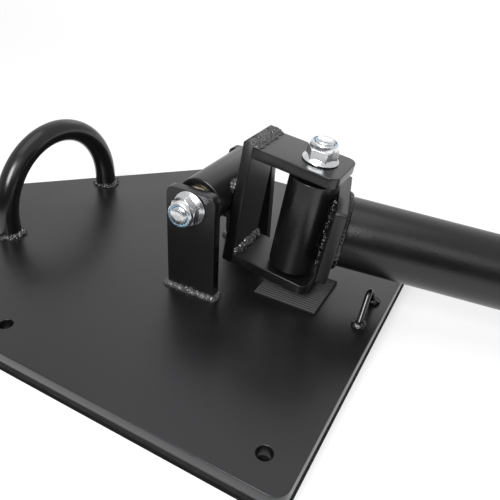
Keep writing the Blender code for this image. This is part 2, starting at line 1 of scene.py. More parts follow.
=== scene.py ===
# %% [markdown]
# # Dressing a pivot base plate for a barbell
#
# The real object is a heavy steel plate on a rubber mat. Two uprights welded to it hold a level bolt, a
# bracket tilts on that bolt, and an open steel barrel swivels in the bracket. The steel is coated with
# satin black powder, apart from the zinc-plated nuts, bolts and washer. The nuts hold blue nylon rings,
# the tubes turn on bronze bushes, and the mat and a bump pad are rubber.
#
# The solid model gives every piece its place. Plates that are already right keep their solids and get
# soft edges and a finish. All the other pieces are made again here as smooth surfaces.

# %% Load the solid model
import json
import math

import bmesh
import bpy
import numpy as np
from mathutils import Matrix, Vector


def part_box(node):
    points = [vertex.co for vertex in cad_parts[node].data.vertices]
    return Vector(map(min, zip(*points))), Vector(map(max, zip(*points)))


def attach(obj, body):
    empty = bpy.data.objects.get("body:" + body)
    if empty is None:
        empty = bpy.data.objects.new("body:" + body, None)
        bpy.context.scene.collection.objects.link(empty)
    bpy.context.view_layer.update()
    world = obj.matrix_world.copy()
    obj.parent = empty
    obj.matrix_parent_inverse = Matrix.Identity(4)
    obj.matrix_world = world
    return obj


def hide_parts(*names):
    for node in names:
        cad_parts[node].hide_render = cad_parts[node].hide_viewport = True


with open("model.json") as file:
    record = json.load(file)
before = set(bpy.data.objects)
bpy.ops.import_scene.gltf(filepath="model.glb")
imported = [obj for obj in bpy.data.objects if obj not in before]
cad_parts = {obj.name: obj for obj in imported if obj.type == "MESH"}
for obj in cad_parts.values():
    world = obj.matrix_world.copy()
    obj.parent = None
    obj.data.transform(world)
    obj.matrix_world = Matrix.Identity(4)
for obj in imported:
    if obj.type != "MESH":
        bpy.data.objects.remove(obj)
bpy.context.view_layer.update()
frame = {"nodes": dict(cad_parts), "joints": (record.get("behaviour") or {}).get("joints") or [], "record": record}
nodes = frame["nodes"]

# %% [markdown]
# ## The three frames
#
# Each body is easiest to draw where it stands square: the base on the floor, the bracket about the level
# bolt, and the barrel about the upright bolt. A frame is an origin and three axes. The joints in the
# record give the origins and the turned axes, so the pieces here always meet the solids.

# %% Frames read from the record
joints = {joint["name"]: joint for joint in frame["joints"]}
mounts = {mount["name"]: mount for mount in frame["record"]["mounts"]}


def axes_from(x_way, z_way):
    """Three axes as columns: z, then x made square to it, then y = z cross x."""
    z_axis = np.array(z_way, float) / np.linalg.norm(z_way)
    x_axis = np.array(x_way, float) - z_axis * np.dot(x_way, z_axis)
    x_axis /= np.linalg.norm(x_axis)
    return np.stack([x_axis, np.cross(z_axis, x_axis), z_axis], axis=1)


PIVOT = np.array(joints["bracket_tilt"]["pos_m"], float)
SWIVEL = np.array(joints["barrel_swivel"]["pos_m"], float)
SWIVEL_AXIS = joints["barrel_swivel"]["axis"]
AT_PIVOT = (np.eye(3), PIVOT)
BRACKET = (axes_from((1, 0, 0), SWIVEL_AXIS), PIVOT)
BARREL = (axes_from(mounts["barrel_mouth_face"]["axis"], SWIVEL_AXIS), SWIVEL)
SWIVEL_X = np.linalg.norm(SWIVEL - PIVOT)


def turned_to(frame_of, z_way, x_way, origin=(0.0, 0.0, 0.0)):
    """A frame inside another one: its z and x directions and its origin are given in the outer frame."""
    axes, place = frame_of
    return axes @ axes_from(x_way, z_way), place + axes @ np.array(origin, float)


def in_frame(points, frame_of):
    """World places of points given in a frame: origin plus each coordinate along its axis."""
    axes, place = frame_of
    return points @ axes.T + place


print("bracket tilt:", round(math.degrees(math.atan2(SWIVEL_AXIS[0], SWIVEL_AXIS[2])), 2), "degrees")

# %% [markdown]
# ## Sizes
#
# The sizes are those of the solid model, in metres. Only the ones that a new surface needs are here.

# %% Sizes
SEAT_GAP = 0.0003
BAR_WIDTH = 0.050
BAR_THICK = 0.010
PLATE_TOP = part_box("base_plate")[1].z
ON_PLATE = PLATE_TOP + SEAT_GAP
TUBE_RADIUS = 0.02225
TUBE_BORE = 0.01225
PIVOT_TUBE_LENGTH = 0.090
UPRIGHT_INNER = -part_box("upright_near")[1].y
UPRIGHT_OUTER = UPRIGHT_INNER + BAR_THICK
BACK_FACE = TUBE_RADIUS + SEAT_GAP
BRACKET_FACE = BACK_FACE + BAR_THICK
BRACKET_DROP = 0.0625
BRACKET_TOP = 0.0585
BRACKET_LIP = 0.0025
SWIVEL_PLAY = 0.0014
SWIVEL_BUSH_FLANGE = 0.0032
PIVOT_BUSH_FLANGE = 0.0034
SWIVEL_TUBE_BOTTOM = BAR_THICK - BRACKET_DROP + 2 * SEAT_GAP + SWIVEL_BUSH_FLANGE
SWIVEL_TUBE_TOP = BRACKET_TOP - BAR_THICK - SWIVEL_PLAY - SEAT_GAP - SWIVEL_BUSH_FLANGE
SWIVEL_MIDDLE = (SWIVEL_TUBE_BOTTOM + SWIVEL_TUBE_TOP) / 2
SWIVEL_PLATE_HEIGHT = 0.073
BARREL_RADIUS = 0.03175
BARREL_WALL = 0.005
BARREL_LENGTH = 0.200
print("plate top at", round(PLATE_TOP * 1000, 2), "mm")

# %% [markdown]
# ## Surfaces as grids of points
#
# Blender's own cylinders and modifiers could make many of these pieces, but a grid of points says exactly
# where a surface runs. One number runs along the grid and one runs round it. Numpy works out the whole
# grid at once, and it becomes a closed mesh. Two kinds of grid cover this object: a profile turned about
# an axis, and a section carried along a path.


# %% From a grid to a mesh
def shell(name, rows, body, coat, ring=False, sharp=40):
    """A closed mesh from a grid of points, (along, round, 3), in place of the solid of the same name.

    Each row closes on itself, and neighbouring points join as quads. A ring also joins its last row to
    its first, and any other shape gets a flat face over each end. If the volume comes out negative, the
    faces are turned round. Edges bent by more than sharp degrees stay sharp.
    """
    along, around = rows.shape[:2]
    index = np.arange(along * around).reshape(along, around)
    steps = np.vstack([index, index[:1]]) if ring else index
    here, there = steps[:-1], steps[1:]
    quads = np.stack([here, np.roll(here, -1, 1), np.roll(there, -1, 1), there], axis=-1)
    faces = quads.reshape(-1, 4).tolist()
    if not ring:
        faces += [index[0][::-1].tolist(), index[-1].tolist()]
    mesh = bpy.data.meshes.new(name)
    mesh.from_pydata(rows.reshape(-1, 3).tolist(), [], faces)
    shape = bmesh.new()
    shape.from_mesh(mesh)
    inside_out = shape.calc_volume(signed=True) < 0
    shape.free()
    if inside_out:
        mesh.flip_normals()
    mesh.shade_smooth()
    mesh.set_sharp_from_angle(angle=math.radians(sharp))
    mesh.materials.append(coat)
    piece = bpy.data.objects.new(name, mesh)
    bpy.context.scene.collection.objects.link(piece)
    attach(piece, body)
    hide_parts(name)
    print(f"{name}: {len(mesh.polygons)} faces")


def softened(corners, radius, steps=5):
    """A closed outline (n, 2) with every corner turned into an arc of the radius.

    Each corner's arc is a quadratic blend between two points set back along its sides. The set-back is
    the radius, or 45 per cent of the shorter side where that is less.
    """
    corners = np.array(corners, float)
    back = np.roll(corners, 1, 0) - corners
    on = np.roll(corners, -1, 0) - corners
    back_length = np.linalg.norm(back, axis=1, keepdims=True)
    on_length = np.linalg.norm(on, axis=1, keepdims=True)
    reach = np.minimum(radius, 0.45 * np.minimum(back_length, on_length))
    first = corners + back / back_length * reach
    last = corners + on / on_length * reach
    t = np.linspace(0, 1, steps)[None, :, None]
    arcs = (1 - t) ** 2 * first[:, None] + 2 * t * (1 - t) * corners[:, None] + t**2 * last[:, None]
    return arcs.reshape(-1, 2)


def turned(profile, frame_of, around=128):
    """A profile of (radius, height) turned about the frame's z.

    A point is (radius cos a, radius sin a, height) for every angle a.
    """
    angle = np.linspace(0, 2 * np.pi, around, endpoint=False)
    radius, height = profile[:, :1], profile[:, 1:]
    grid = np.stack([radius * np.cos(angle), radius * np.sin(angle), height + 0 * angle], axis=-1)
    return in_frame(grid, frame_of)


def waves(points, size, seed):
    """Smooth roughness from about -1 to 1 with lumps of a given size.

    It is a sum of plane waves, sin(2 pi points . direction / size + phase). Each has a random direction
    and phase, and its own size near the given one.
    """
    count = 18
    chance = np.random.default_rng(seed)
    way = chance.normal(size=(3, count))
    way /= np.linalg.norm(way, axis=0)
    way *= 2 * np.pi / size * chance.uniform(0.6, 1.5, count)
    phase = chance.uniform(0, 2 * np.pi, count)
    return np.sin(points @ way + phase).sum(axis=-1) / math.sqrt(count)


# %% [markdown]
# ## The camera
#
# The camera stands where the photograph's straight edges and round tubes say it stood: a little to the
# right of the object, looking about 30 degrees down. Its angles and its focal length in pixels become
# Blender's camera here. The picture was cropped slightly off the lens axis, hence the shift.

# %% Camera
CAMERA_PLACE = np.array([0.2321914, -0.406956, 0.3330824])
YAW, PITCH, ROLL = 0.4839, 0.518, -0.0511
FOCAL_PIXELS = 549.8428
PICTURE_PIXELS = 500
LENS_AXIS_PIXEL = (239.9, 223.843)

forward = np.array([-math.sin(YAW) * math.cos(PITCH), math.cos(YAW) * math.cos(PITCH), -math.sin(PITCH)])
level = np.array([math.cos(YAW), math.sin(YAW), 0.0])
down = np.cross(forward, level)
camera_x = level * math.cos(ROLL) + down * math.sin(ROLL)
camera_down = down * math.cos(ROLL) - level * math.sin(ROLL)
camera_data = bpy.data.cameras.new("camera")
camera_data.sensor_width = 36.0
camera_data.lens = FOCAL_PIXELS / PICTURE_PIXELS * camera_data.sensor_width
camera_data.shift_x = (PICTURE_PIXELS / 2 - LENS_AXIS_PIXEL[0]) / PICTURE_PIXELS
camera_data.shift_y = (LENS_AXIS_PIXEL[1] - PICTURE_PIXELS / 2) / PICTURE_PIXELS
camera_data.clip_start = 0.01
camera = bpy.data.objects.new("camera", camera_data)
bpy.context.scene.collection.objects.link(camera)
pose = np.eye(4)
pose[:3, 0], pose[:3, 1], pose[:3, 2], pose[:3, 3] = camera_x, -camera_down, -forward, CAMERA_PLACE
camera.matrix_world = Matrix(pose)
bpy.context.scene.camera = camera
print("lens", round(camera_data.lens, 2), "mm")

# %% [markdown]
# ## Finishes
#
# A finish is a small graph of shader nodes. The helper below adds a node, sets its values and joins its
# inputs in one line, so that each finish reads as a recipe. Every pattern reads Object coordinates, which
# are metres on these pieces, so a noise scale of 1000 makes lumps about a millimetre across.


# %% Node helpers
class Finish:
    """A material under construction: its nodes, its links and its Principled shader."""

    def __init__(self, name):
        self.material = bpy.data.materials.new(name)
        self.material.use_nodes = True
        self.tree = self.material.node_tree
        self.shader = self.tree.nodes["Principled BSDF"]
        self.place = self.add("ShaderNodeTexCoord").outputs["Object"]

    def add(self, kind, **settings):
        """A new node of a kind, with its settings."""
        made = self.tree.nodes.new(kind)
        for key, value in settings.items():
            setattr(made, key, value)
        return made

    def feed(self, target, value):
        """Set a socket to a value, or link it when the value is another socket."""
        if isinstance(value, bpy.types.NodeSocket):
            self.tree.links.new(value, target)
        else:
            target.default_value = value

    def noise(self, scale, detail=2.0, roughness=0.5, stretch=(1, 1, 1)):
        """Lumps of about 1/scale metres, from 0 to 1."""
        mapping = self.add("ShaderNodeMapping")
        self.feed(mapping.inputs["Vector"], self.place)
        self.feed(mapping.inputs["Scale"], stretch)
        made = self.add("ShaderNodeTexNoise")
        self.feed(made.inputs["Vector"], mapping.outputs["Vector"])
        for key, value in (("Scale", scale), ("Detail", detail), ("Roughness", roughness)):
            self.feed(made.inputs[key], value)
        return made.outputs["Fac"]

    def ranged(self, value, low, high, to_low, to_high):
        """A value between low and high moved to between to_low and to_high, and kept there."""
        made = self.add("ShaderNodeMapRange")
        for key, number in zip(range(5), (value, low, high, to_low, to_high)):
            self.feed(made.inputs[key], number)
        return made.outputs["Result"]

    def joined(self, operation, first, second):
        """Two numbers made one by a Math node, such as their product."""
        made = self.add("ShaderNodeMath", operation=operation)
        self.feed(made.inputs[0], first)
        self.feed(made.inputs[1], second)
        return made.outputs["Value"]

    def mixed(self, amount, first, second):
        """Two colours mixed by an amount from 0 to 1."""
        made = self.add("ShaderNodeMix", data_type="RGBA")
        self.feed(made.inputs["Factor"], amount)
        self.feed(made.inputs["A"], first)
        self.feed(made.inputs["B"], second)
        return made.outputs["Result"]

    def bumped(self, height, depth, strength=1.0, under=None):
        """A bump whose height of 1 stands for depth metres, on top of another bump if given."""
        made = self.add("ShaderNodeBump")
        self.feed(made.inputs["Height"], height)
        self.feed(made.inputs["Distance"], depth)
        self.feed(made.inputs["Strength"], strength)
        if under is not None:
            self.feed(made.inputs["Normal"], under)
        return made.outputs["Normal"]

    def shade(self, **sockets):
        """Feed the Principled shader's sockets, and return the finished material."""
        for key, value in sockets.items():
            self.feed(self.shader.inputs[key.replace("_", " ")], value)
        return self.material


def grey(value, tint=(1.0, 1.0, 1.0)):
    """A grey of a brightness from 0 to 1, times a tint."""
    return (value * tint[0], value * tint[1], value * tint[2], 1.0)


# %% [markdown]
# ### Black powder coat
#
# Powder coat is sprayed on dry and baked, and it sets with a fine orange peel. Close up it is a gentle
# bump about a millimetre across, with a finer grain on top. The colour is a near-black grey that varies a
# little, and the gloss varies more: that is what keeps a large flat plate from looking like plastic.


# %% Powder coat
def powder_coat(name, peel, peel_depth, gloss, colour=0.0045, index=1.62, tint=0.96):
    """Satin black with orange peel.

    Peel is the lumps per metre, and gloss is the shader's roughness. The index sets how strongly the coat
    mirrors, and the tint how white its reflections are.
    """
    coat = Finish(name)
    lumps = coat.noise(peel, 2.0, 0.55)
    grain = coat.noise(peel * 2.5, 1.0)
    patches = coat.noise(14, 4.0, 0.6)
    peel_bump = coat.bumped(lumps, peel_depth)
    return coat.shade(
        Base_Color=coat.mixed(patches, grey(colour * 0.7), grey(colour * 1.5, (1.0, 1.0, 1.05))),
        Roughness=coat.ranged(patches, 0.3, 0.7, gloss - 0.04, gloss + 0.05),
        IOR=index,
        Specular_Tint=(tint, tint, 1.0, 1.0),
        Normal=coat.bumped(grain, peel_depth / 8, 0.6, peel_bump),
    )


PLATE_COAT = powder_coat("powder_coat", 1000, 0.00005, 0.31)
TUBE_COAT = powder_coat("tube_coat", 900, 0.00003, 0.29, index=1.60, tint=1.0)
LOOP_COAT = powder_coat("loop_coat", 800, 0.00003, 0.20, index=1.55, tint=1.0)
BARREL_COAT = powder_coat("barrel_coat", 560, 0.00013, 0.29, index=1.51, tint=1.0)
GLOSS_COAT = powder_coat("eyelet_coat", 700, 0.00003, 0.14, tint=1.0)
# The weld coats are copies of the black coat in three greys. coated_weld and pale_weld are painted lighter, as
# painted sheen for the glints that the rough beads catch. dark_weld stays near the coat's own black.
WELD_COAT = powder_coat("coated_weld", 900, 0.00007, 0.20, colour=0.030, index=1.75, tint=1.0)
PALE_WELD_COAT = powder_coat("pale_weld", 1300, 0.00012, 0.20, colour=0.052, index=1.75, tint=1.0)
DARK_WELD_COAT = powder_coat("dark_weld", 900, 0.00008, 0.18, colour=0.006, index=1.50, tint=1.0)
print("coats made")

# %% [markdown]
# ### Zinc, nylon, bronze and rubber
#
# Bright zinc plating is metal with a slight haze. Fine scratches and a faint blue cast come from two
# noises, one squeezed along an axis. The nut's ring is blue nylon, the bushes are sintered bronze, which
# has open pores, and the mat and pad are rubber, which is matt and a little dusty. The pad's grooves are
# painted darker towards their bottoms, as painted shade. The bushes in the upright tube sit in shade, so
# their bronze is painted nearly black, as painted shade.


# %% Other finishes
def zinc_plate():
    """Bright metal, hazy in patches, with fine scratches that run across Y."""
    zinc = Finish("zinc_steel")
    haze = zinc.noise(160, 4.0, 0.6)
    scratches = zinc.noise(900, 2.0, 0.5, (1, 8, 1))
    return zinc.shade(
        Base_Color=zinc.mixed(haze, grey(0.80, (0.98, 1.0, 1.03)), grey(0.92)),
        Metallic=1.0,
        Roughness=zinc.ranged(haze, 0.3, 0.7, 0.18, 0.32),
        Normal=zinc.bumped(scratches, 0.00003, 0.5),
    )


def blue_nylon():
    """Pale blue plastic, slightly cloudy."""
    nylon = Finish("blue_nylon")
    cloud = nylon.noise(300, 3.0)
    return nylon.shade(
        Base_Color=nylon.mixed(cloud, (0.22, 0.40, 0.55, 1.0), (0.34, 0.52, 0.66, 1.0)),
        Roughness=nylon.ranged(cloud, 0.3, 0.7, 0.35, 0.5),
        Normal=nylon.bumped(nylon.noise(1800), 0.00003, 0.5),
    )


def sintered_bronze(name, bright):
    """Sintered bronze, whose colour is the bright tan times a share. A small share is painted shade, for bushes
    that sit in shadow.
    """
    bronze = Finish(name)
    pores = bronze.ranged(bronze.noise(4500, 1.0), 0.30, 0.42, 0.0, 1.0)
    oily, clean = grey(bright * 0.4, (1.0, 0.8, 0.55)), grey(bright, (1.0, 0.86, 0.66))
    return bronze.shade(
        Base_Color=bronze.mixed(pores, oily, clean),
        Metallic=1.0,
        Roughness=bronze.ranged(bronze.noise(200), 0.3, 0.7, 0.35, 0.5),
        Normal=bronze.bumped(pores, 0.00003, 0.6),
    )


def black_rubber(name, colour, gloss, grain, depth, groove=None):
    """Matt rubber. groove is a pair of heights, and the colour is painted darker towards the lower one, as painted
    shade in the grooves.
    """
    rubber = Finish(name)
    crumbs = rubber.noise(grain, 3.0, 0.7)
    chalk = rubber.noise(25, 4.0, 0.65)
    shade = rubber.mixed(chalk, grey(colour * 0.75), grey(colour * 1.3))
    # Painted shade: the colour falls to nearly black towards the grooves' bottoms.
    if groove:
        parts = rubber.add("ShaderNodeSeparateXYZ")
        rubber.feed(parts.inputs[0], rubber.place)
        climb = rubber.ranged(parts.outputs["Z"], *groove, 0.0, 1.0)
        shade = rubber.mixed(climb, grey(colour * 0.08), shade)
    return rubber.shade(
        Base_Color=shade,
        Specular_IOR_Level=0.25,
        Roughness=rubber.ranged(chalk, 0.3, 0.7, gloss - 0.06, gloss + 0.06),
        Normal=rubber.bumped(crumbs, depth),
    )


ZINC = zinc_plate()
NYLON = blue_nylon()
BRONZE = sintered_bronze("bush_bronze", 0.92)
# The upright tube's bushes: bronze painted nearly black, as painted shade for the shadow they sit in.
SHADE_PAINTED_BRONZE = sintered_bronze("shade_painted_bronze", 0.05)
MAT_RUBBER = black_rubber("mat_rubber", 0.075, 0.82, 900, 0.00008)
PAD_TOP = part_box("bump_pad")[1].z
# Heights over which the pad's grooves are painted darker, as painted shade.
PAD_GROOVES = (PAD_TOP - 0.0010, PAD_TOP - 0.0004)
PAD_RUBBER = black_rubber("pad_rubber", 0.055, 0.55, 1500, 0.00002, PAD_GROOVES)
print("finishes:", len(bpy.data.materials))

# %% [markdown]
# ## Plates and flat bars
#
# The plates are cut from flat steel. Their solids already have the right outline and a broken edge, so
# they stay and only get modifiers. The solid's mesh is loose triangles: a Weld joins them and a planar
# Decimate turns each flat face into one. Weighted normals then keep the large faces flat, and the narrow
# edge face shades as the round edge that powder makes.


# %% Finish on the plates that stay
def dressed(name, coat):
    """Give a solid its finish and soft edges, and leave its points where they are."""
    plate = nodes[name]
    plate.data.materials.clear()
    plate.data.materials.append(coat)
    plate.data.shade_smooth()
    weld = plate.modifiers.new("weld", "WELD")
    weld.merge_threshold = 0.00001
    flats = plate.modifiers.new("whole_faces", "DECIMATE")
    flats.decimate_type = "DISSOLVE"
    flats.angle_limit = math.radians(0.5)
    normals = plate.modifiers.new("flat_faces", "WEIGHTED_NORMAL")
    normals.mode = "FACE_AREA"
    normals.weight = 100


for plate_name in (
    "base_plate",
    "upright_near",
    "upright_far",
    "bracket_back_plate",
    "bracket_top_plate",
    "bracket_bottom_plate",
    "swivel_plate",
):
    dressed(plate_name, PLATE_COAT)
dressed("floor_mat", MAT_RUBBER)
print("plates dressed")

# %% [markdown]
# ## Tubes
#
# The pivot tube, the swivel tube and the barrel are lengths of thick steel tube. A cylinder with a hole
# cut through it and a bevel would do. A closed profile of radius and height, with its corners softened
# and turned about the tube's axis, gives even faces and needs no cut.


# %% Tubes
def tube(name, radius, bore, length, frame_of, body, slot, coat, around=128, edge=0.0009):
    """A tube from z = 0 up in its frame. The profile is a rectangle with softened corners."""
    corners = [(bore, 0.0), (radius, 0.0), (radius, length), (bore, length)]
    profile = softened(corners, edge)
    shell(name, turned(profile, frame_of, around), body, coat, ring=True)


pivot_frame = turned_to(BRACKET, (0, -1, 0), (1, 0, 0), (0, PIVOT_TUBE_LENGTH / 2, 0))
tube(
    "pivot_tube",
    TUBE_RADIUS,
    TUBE_BORE,
    PIVOT_TUBE_LENGTH,
    pivot_frame,
    "bracket",
    "powder_coat",
    TUBE_COAT,
    edge=0.0016,
)
swivel_frame = turned_to(BARREL, (0, 0, 1), (1, 0, 0), (0, 0, SWIVEL_TUBE_BOTTOM))
tube(
    "swivel_tube",
    TUBE_RADIUS,
    TUBE_BORE,
    SWIVEL_TUBE_TOP - SWIVEL_TUBE_BOTTOM,
    swivel_frame,
    "barrel",
    "powder_coat",
    TUBE_COAT,
)
barrel_frame = turned_to(BARREL, (1, 0, 0), (0, 0, 1), (BRACKET_FACE + SEAT_GAP, 0, SWIVEL_MIDDLE))
tube(
    "barrel_tube",
    BARREL_RADIUS,
    BARREL_RADIUS - BARREL_WALL,
    BARREL_LENGTH,
    barrel_frame,
    "barrel",
    "barrel_coat",
    BARREL_COAT,
    around=160,
)

# %% [markdown]
# ## Bent bars
#
# The carrying loop and the eyelet are round bars bent to an arch. The loop has a wide bend and short
# upright legs, and the eyelet has a tight bend and long legs that lean together. A curve with a round
# bevel could draw them, but its feet would be cut square to the legs. So a circle is carried up one leg,
# round the bend and down the other, and the feet are cut level with the plate.


# %% Loop and eyelet
def leg_lean(half, bend, top):
    """The angle of a leg from upright, for feet at half to each side.

    It is the angle to the bend's centre less the angle whose sine is bend over the distance to it.
    """
    centre = top - bend
    return math.atan2(half, centre) - math.asin(bend / math.hypot(half, centre))


def arch_path(half, bend, top, steps):
    """Points (n, 3) of an arch in the YZ plane, and the direction across the bar in that plane.

    The bend is part of a circle: y is -bend cos a and z is centre + bend sin a. A leg runs straight from
    its foot to where it touches that circle. The feet are cut level.
    """
    centre = top - bend
    lean = leg_lean(half, bend, top)
    leg_points = 4
    angle = np.linspace(lean, np.pi - lean, steps)
    climb = np.linspace(0, 1, leg_points + 1)[:-1]
    leg_y = -half + climb * (half - bend * math.cos(lean))
    leg_z = climb * (centre + bend * math.sin(lean))
    y = np.concatenate([leg_y, -bend * np.cos(angle), -leg_y[::-1]])
    z = np.concatenate([leg_z, centre + bend * np.sin(angle), leg_z[::-1]])
    turn = np.concatenate([np.full(leg_points, lean), angle, np.full(leg_points, np.pi - lean)])
    path = np.stack([0 * y, y, z], axis=-1)
    across = np.stack([0 * y, -np.cos(turn), np.sin(turn)], axis=-1)
    across[0], across[-1] = (0, -1 / math.cos(lean), 0), (0, 1 / math.cos(lean), 0)
    return path, across


def bent_bar(name, half, bend, top, radius, place, coat, steps, around):
    """A round bar along an arch: path + radius (cos b across + sin b along X)."""
    path, across = arch_path(half, bend, top, steps)
    angle = np.linspace(0, 2 * np.pi, around, endpoint=False)[None, :, None]
    side = np.array([1.0, 0.0, 0.0])
    rows = path[:, None] + radius * (np.cos(angle) * across[:, None] + np.sin(angle) * side)
    shell(name, rows + np.array(place), "base", coat, sharp=60)


LOOP_RADIUS, LOOP_BACK = 0.012, 0.2195
LOOP_HALF, LOOP_TOP = 0.0763, 0.0908
EYELET_RADIUS, EYELET_FRONT = 0.00275, 0.152
EYELET_HALF, EYELET_BEND, EYELET_TOP = 0.0205, 0.0052, 0.02295
loop_arch = (LOOP_HALF, LOOP_HALF, LOOP_TOP)
eyelet_arch = (EYELET_HALF, EYELET_BEND, EYELET_TOP)
bent_bar("carry_loop", *loop_arch, LOOP_RADIUS, (-LOOP_BACK, 0, ON_PLATE), LOOP_COAT, 120, 64)
bent_bar("anchor_eyelet", *eyelet_arch, EYELET_RADIUS, (EYELET_FRONT, 0, ON_PLATE), GLOSS_COAT, 80, 40)

# %% [markdown]
# ## Weld beads
#
# A bead is laid in short steps, and each step leaves a curved ripple. A bump in the material would leave
# the bead's outline straight, so the ripples are real shape. The section of a bead is a bulged face
# between its two toes, one on each piece that it joins, closed behind at its root. Carried along the
# joint, its size wanders a little and its face carries the ripples.


# %% Bead
BEAD_STEP = 0.0003
FACE_POINTS = 26


def wander(points, slow_size, seed, lumps):
    """A size near 1 that wanders along a bead: slow and quick waves of a tenth each, times lumps."""
    slow, quick = waves(points, slow_size, seed), waves(points, 0.003, seed + 1)
    return 1 - 0.08 * lumps + lumps * (0.10 * slow + 0.10 * quick)


def bead(
    name,
    root,
    toe_a,
    toe_b,
    body,
    pitch=0.0024,
    bulge=0.16,
    seed=1,
    closed=False,
    lumps=1.0,
    coat=WELD_COAT,
    nose=0.002,
    ripple=0.075,
):
    """A weld bead from three curves of points (n, 3): its root and its toes on the two pieces.

    The face is the straight line from toe to toe, pushed outwards by bulge times the toe distance times
    sin(pi t), and by ripples, which are rounded steps of the distance along the bead, bent forwards in
    the middle of the face. The push is square to that line. Pitch is a ripple's length, and ripple its
    height as a share of the toe distance. An open bead shrinks at both ends, over a length that is called
    its nose here. Lumps says how uneven the bead is.
    """
    spacing = np.linalg.norm(np.diff(root, axis=0), axis=1)
    along = np.concatenate([[0.0], np.cumsum(spacing)])
    total = along[-1] + (np.linalg.norm(root[0] - root[-1]) if closed else 0.0)
    ripples = max(3, round(total / pitch))
    t = np.linspace(0, 1, FACE_POINTS)[None, :]
    a_way, b_way = toe_a - root, toe_b - root
    size_a = wander(root, 0.011, seed, lumps)
    size_b = wander(root, 0.012, seed + 2, lumps)
    if not closed:
        near_end = np.minimum(along, total - along) / nose
        taper = np.sqrt(np.clip(1 - (1 - np.clip(near_end, 0.0, 1)) ** 2, 0.02, 1))
        size_a, size_b = size_a * taper, size_b * taper
    size_a, size_b = np.minimum(size_a, 1.12), np.minimum(size_b, 1.12)
    first = root + a_way * size_a[:, None]
    last = root + b_way * size_b[:, None]
    chord = first[:, None] * (1 - t[..., None]) + last[:, None] * t[..., None]
    span = toe_b - toe_a
    span /= np.linalg.norm(span, axis=1, keepdims=True)
    out = a_way + b_way
    out -= span * (out * span).sum(axis=1, keepdims=True)
    out /= np.linalg.norm(out, axis=1, keepdims=True)
    width = np.linalg.norm(last - first, axis=1)[:, None]
    drift = 0.18 * waves(root, 0.006, seed + 4)[:, None]
    phase = along[:, None] / total * ripples + 0.9 * (2 * t - 1) ** 2 + drift
    step = phase - np.floor(phase)
    crest = np.sqrt(np.clip(1 - (step - 0.35) ** 2 / 0.46, 0.0, 1))
    arch = np.sin(np.pi * t)
    lift = width * (bulge * arch + ripple * arch**0.7 * (crest - 0.55))
    lift = lift + lumps * width * 0.055 * waves(chord, 0.0042, seed + 6) * arch
    lift = lift + lumps * 0.00010 * waves(chord, 0.0015, seed + 5) * arch**0.5
    face = chord + out[:, None] * lift[..., None]
    back = root[:, None] + 0.02 * (first - root)[:, None]
    rows = np.concatenate([face, back], axis=1)
    shell(name, rows, body, coat, ring=closed, sharp=75)


# %% [markdown]
# ### Beads round round bars
#
# The loop, the eyelet and the barrel each stand on a plate with one bead all round. Seen down the bar,
# the bead's root and toes are circles, so three circles are all it needs. The eyelet's legs lean, so its
# circles climb along the lean.


# %% Beads round bars
WELD_LEG = 0.0043


def round_bead(name, radius, frame_of, body, seed, **look):
    """A bead round the foot of a round bar: three circles about the frame's z."""
    steps = int(2 * np.pi * radius / BEAD_STEP)
    angle = np.linspace(0, 2 * np.pi, steps, endpoint=False)
    ring = np.stack([np.cos(angle), np.sin(angle), 0 * angle], axis=-1)
    root = in_frame(radius * ring, frame_of)
    toe_a = in_frame((radius + WELD_LEG) * ring, frame_of)
    toe_b = in_frame(radius * ring + np.array([0, 0, WELD_LEG]), frame_of)
    bead(name, root, toe_a, toe_b, body, seed=seed, closed=True, **look)


eyelet_look = {"pitch": 0.003, "lumps": 0.7, "coat": DARK_WELD_COAT}
for side, sign in (("near", -1), ("far", 1)):
    foot = (np.eye(3), np.array([-LOOP_BACK, sign * LOOP_HALF, ON_PLATE]))
    round_bead("loop_weld_" + side, LOOP_RADIUS, foot, "base", 10 + sign, pitch=0.0034, lumps=2.2)
    leaning = np.eye(3)
    leaning[1, 2] = -sign * math.tan(leg_lean(*eyelet_arch))
    foot = (leaning, np.array([EYELET_FRONT, sign * EYELET_HALF, ON_PLATE]))
    round_bead("eyelet_weld_" + side, EYELET_RADIUS, foot, "base", 20 + sign, **eyelet_look)
round_bead("barrel_weld", BARREL_RADIUS, barrel_frame, "barrel", 31, lumps=0.5, coat=DARK_WELD_COAT)

# %% [markdown]
# ### Beads round the uprights' feet
#
# Each upright is a flat bar welded to the plate all round. Its outline is a rectangle with small corners.
# The outline is walked at equal distances, so that the ripples stay even where the bead turns a corner.


# %% Beads round flat bars
def rounded_rectangle(length, width, corner):
    """Points round a rectangle with rounded corners, evenly spaced, and their outward directions.

    A corner's points are its centre plus corner (cos a, sin a). The four arcs are worked out together,
    then the outline is walked at equal distances.
    """
    arc_points = 24
    quarter = np.linspace(0, np.pi / 2, arc_points)
    turn = (quarter[None, :] + np.arange(4)[:, None] * np.pi / 2).reshape(-1)
    centre_x = np.repeat([1, -1, -1, 1], arc_points) * (length / 2 - corner)
    centre_y = np.repeat([1, 1, -1, -1], arc_points) * (width / 2 - corner)
    out = np.stack([np.cos(turn), np.sin(turn)], axis=-1)
    points = np.stack([centre_x, centre_y], axis=-1) + corner * out
    loop = np.vstack([points, points[:1]])
    out = np.vstack([out, out[:1]])
    walked = np.concatenate([[0], np.cumsum(np.linalg.norm(np.diff(loop, axis=0), axis=1))])
    at = np.arange(0, walked[-1] - BEAD_STEP / 2, BEAD_STEP)
    place = np.stack([np.interp(at, walked, loop[:, k]) for k in (0, 1)], axis=-1)
    way = np.stack([np.interp(at, walked, out[:, k]) for k in (0, 1)], axis=-1)
    return place, way / np.linalg.norm(way, axis=1, keepdims=True)


place, way = rounded_rectangle(BAR_WIDTH, BAR_THICK, 0.0009)
flat = np.concatenate([place, np.zeros((len(place), 1))], axis=1)
outwards = np.concatenate([way, np.zeros((len(way), 1))], axis=1)
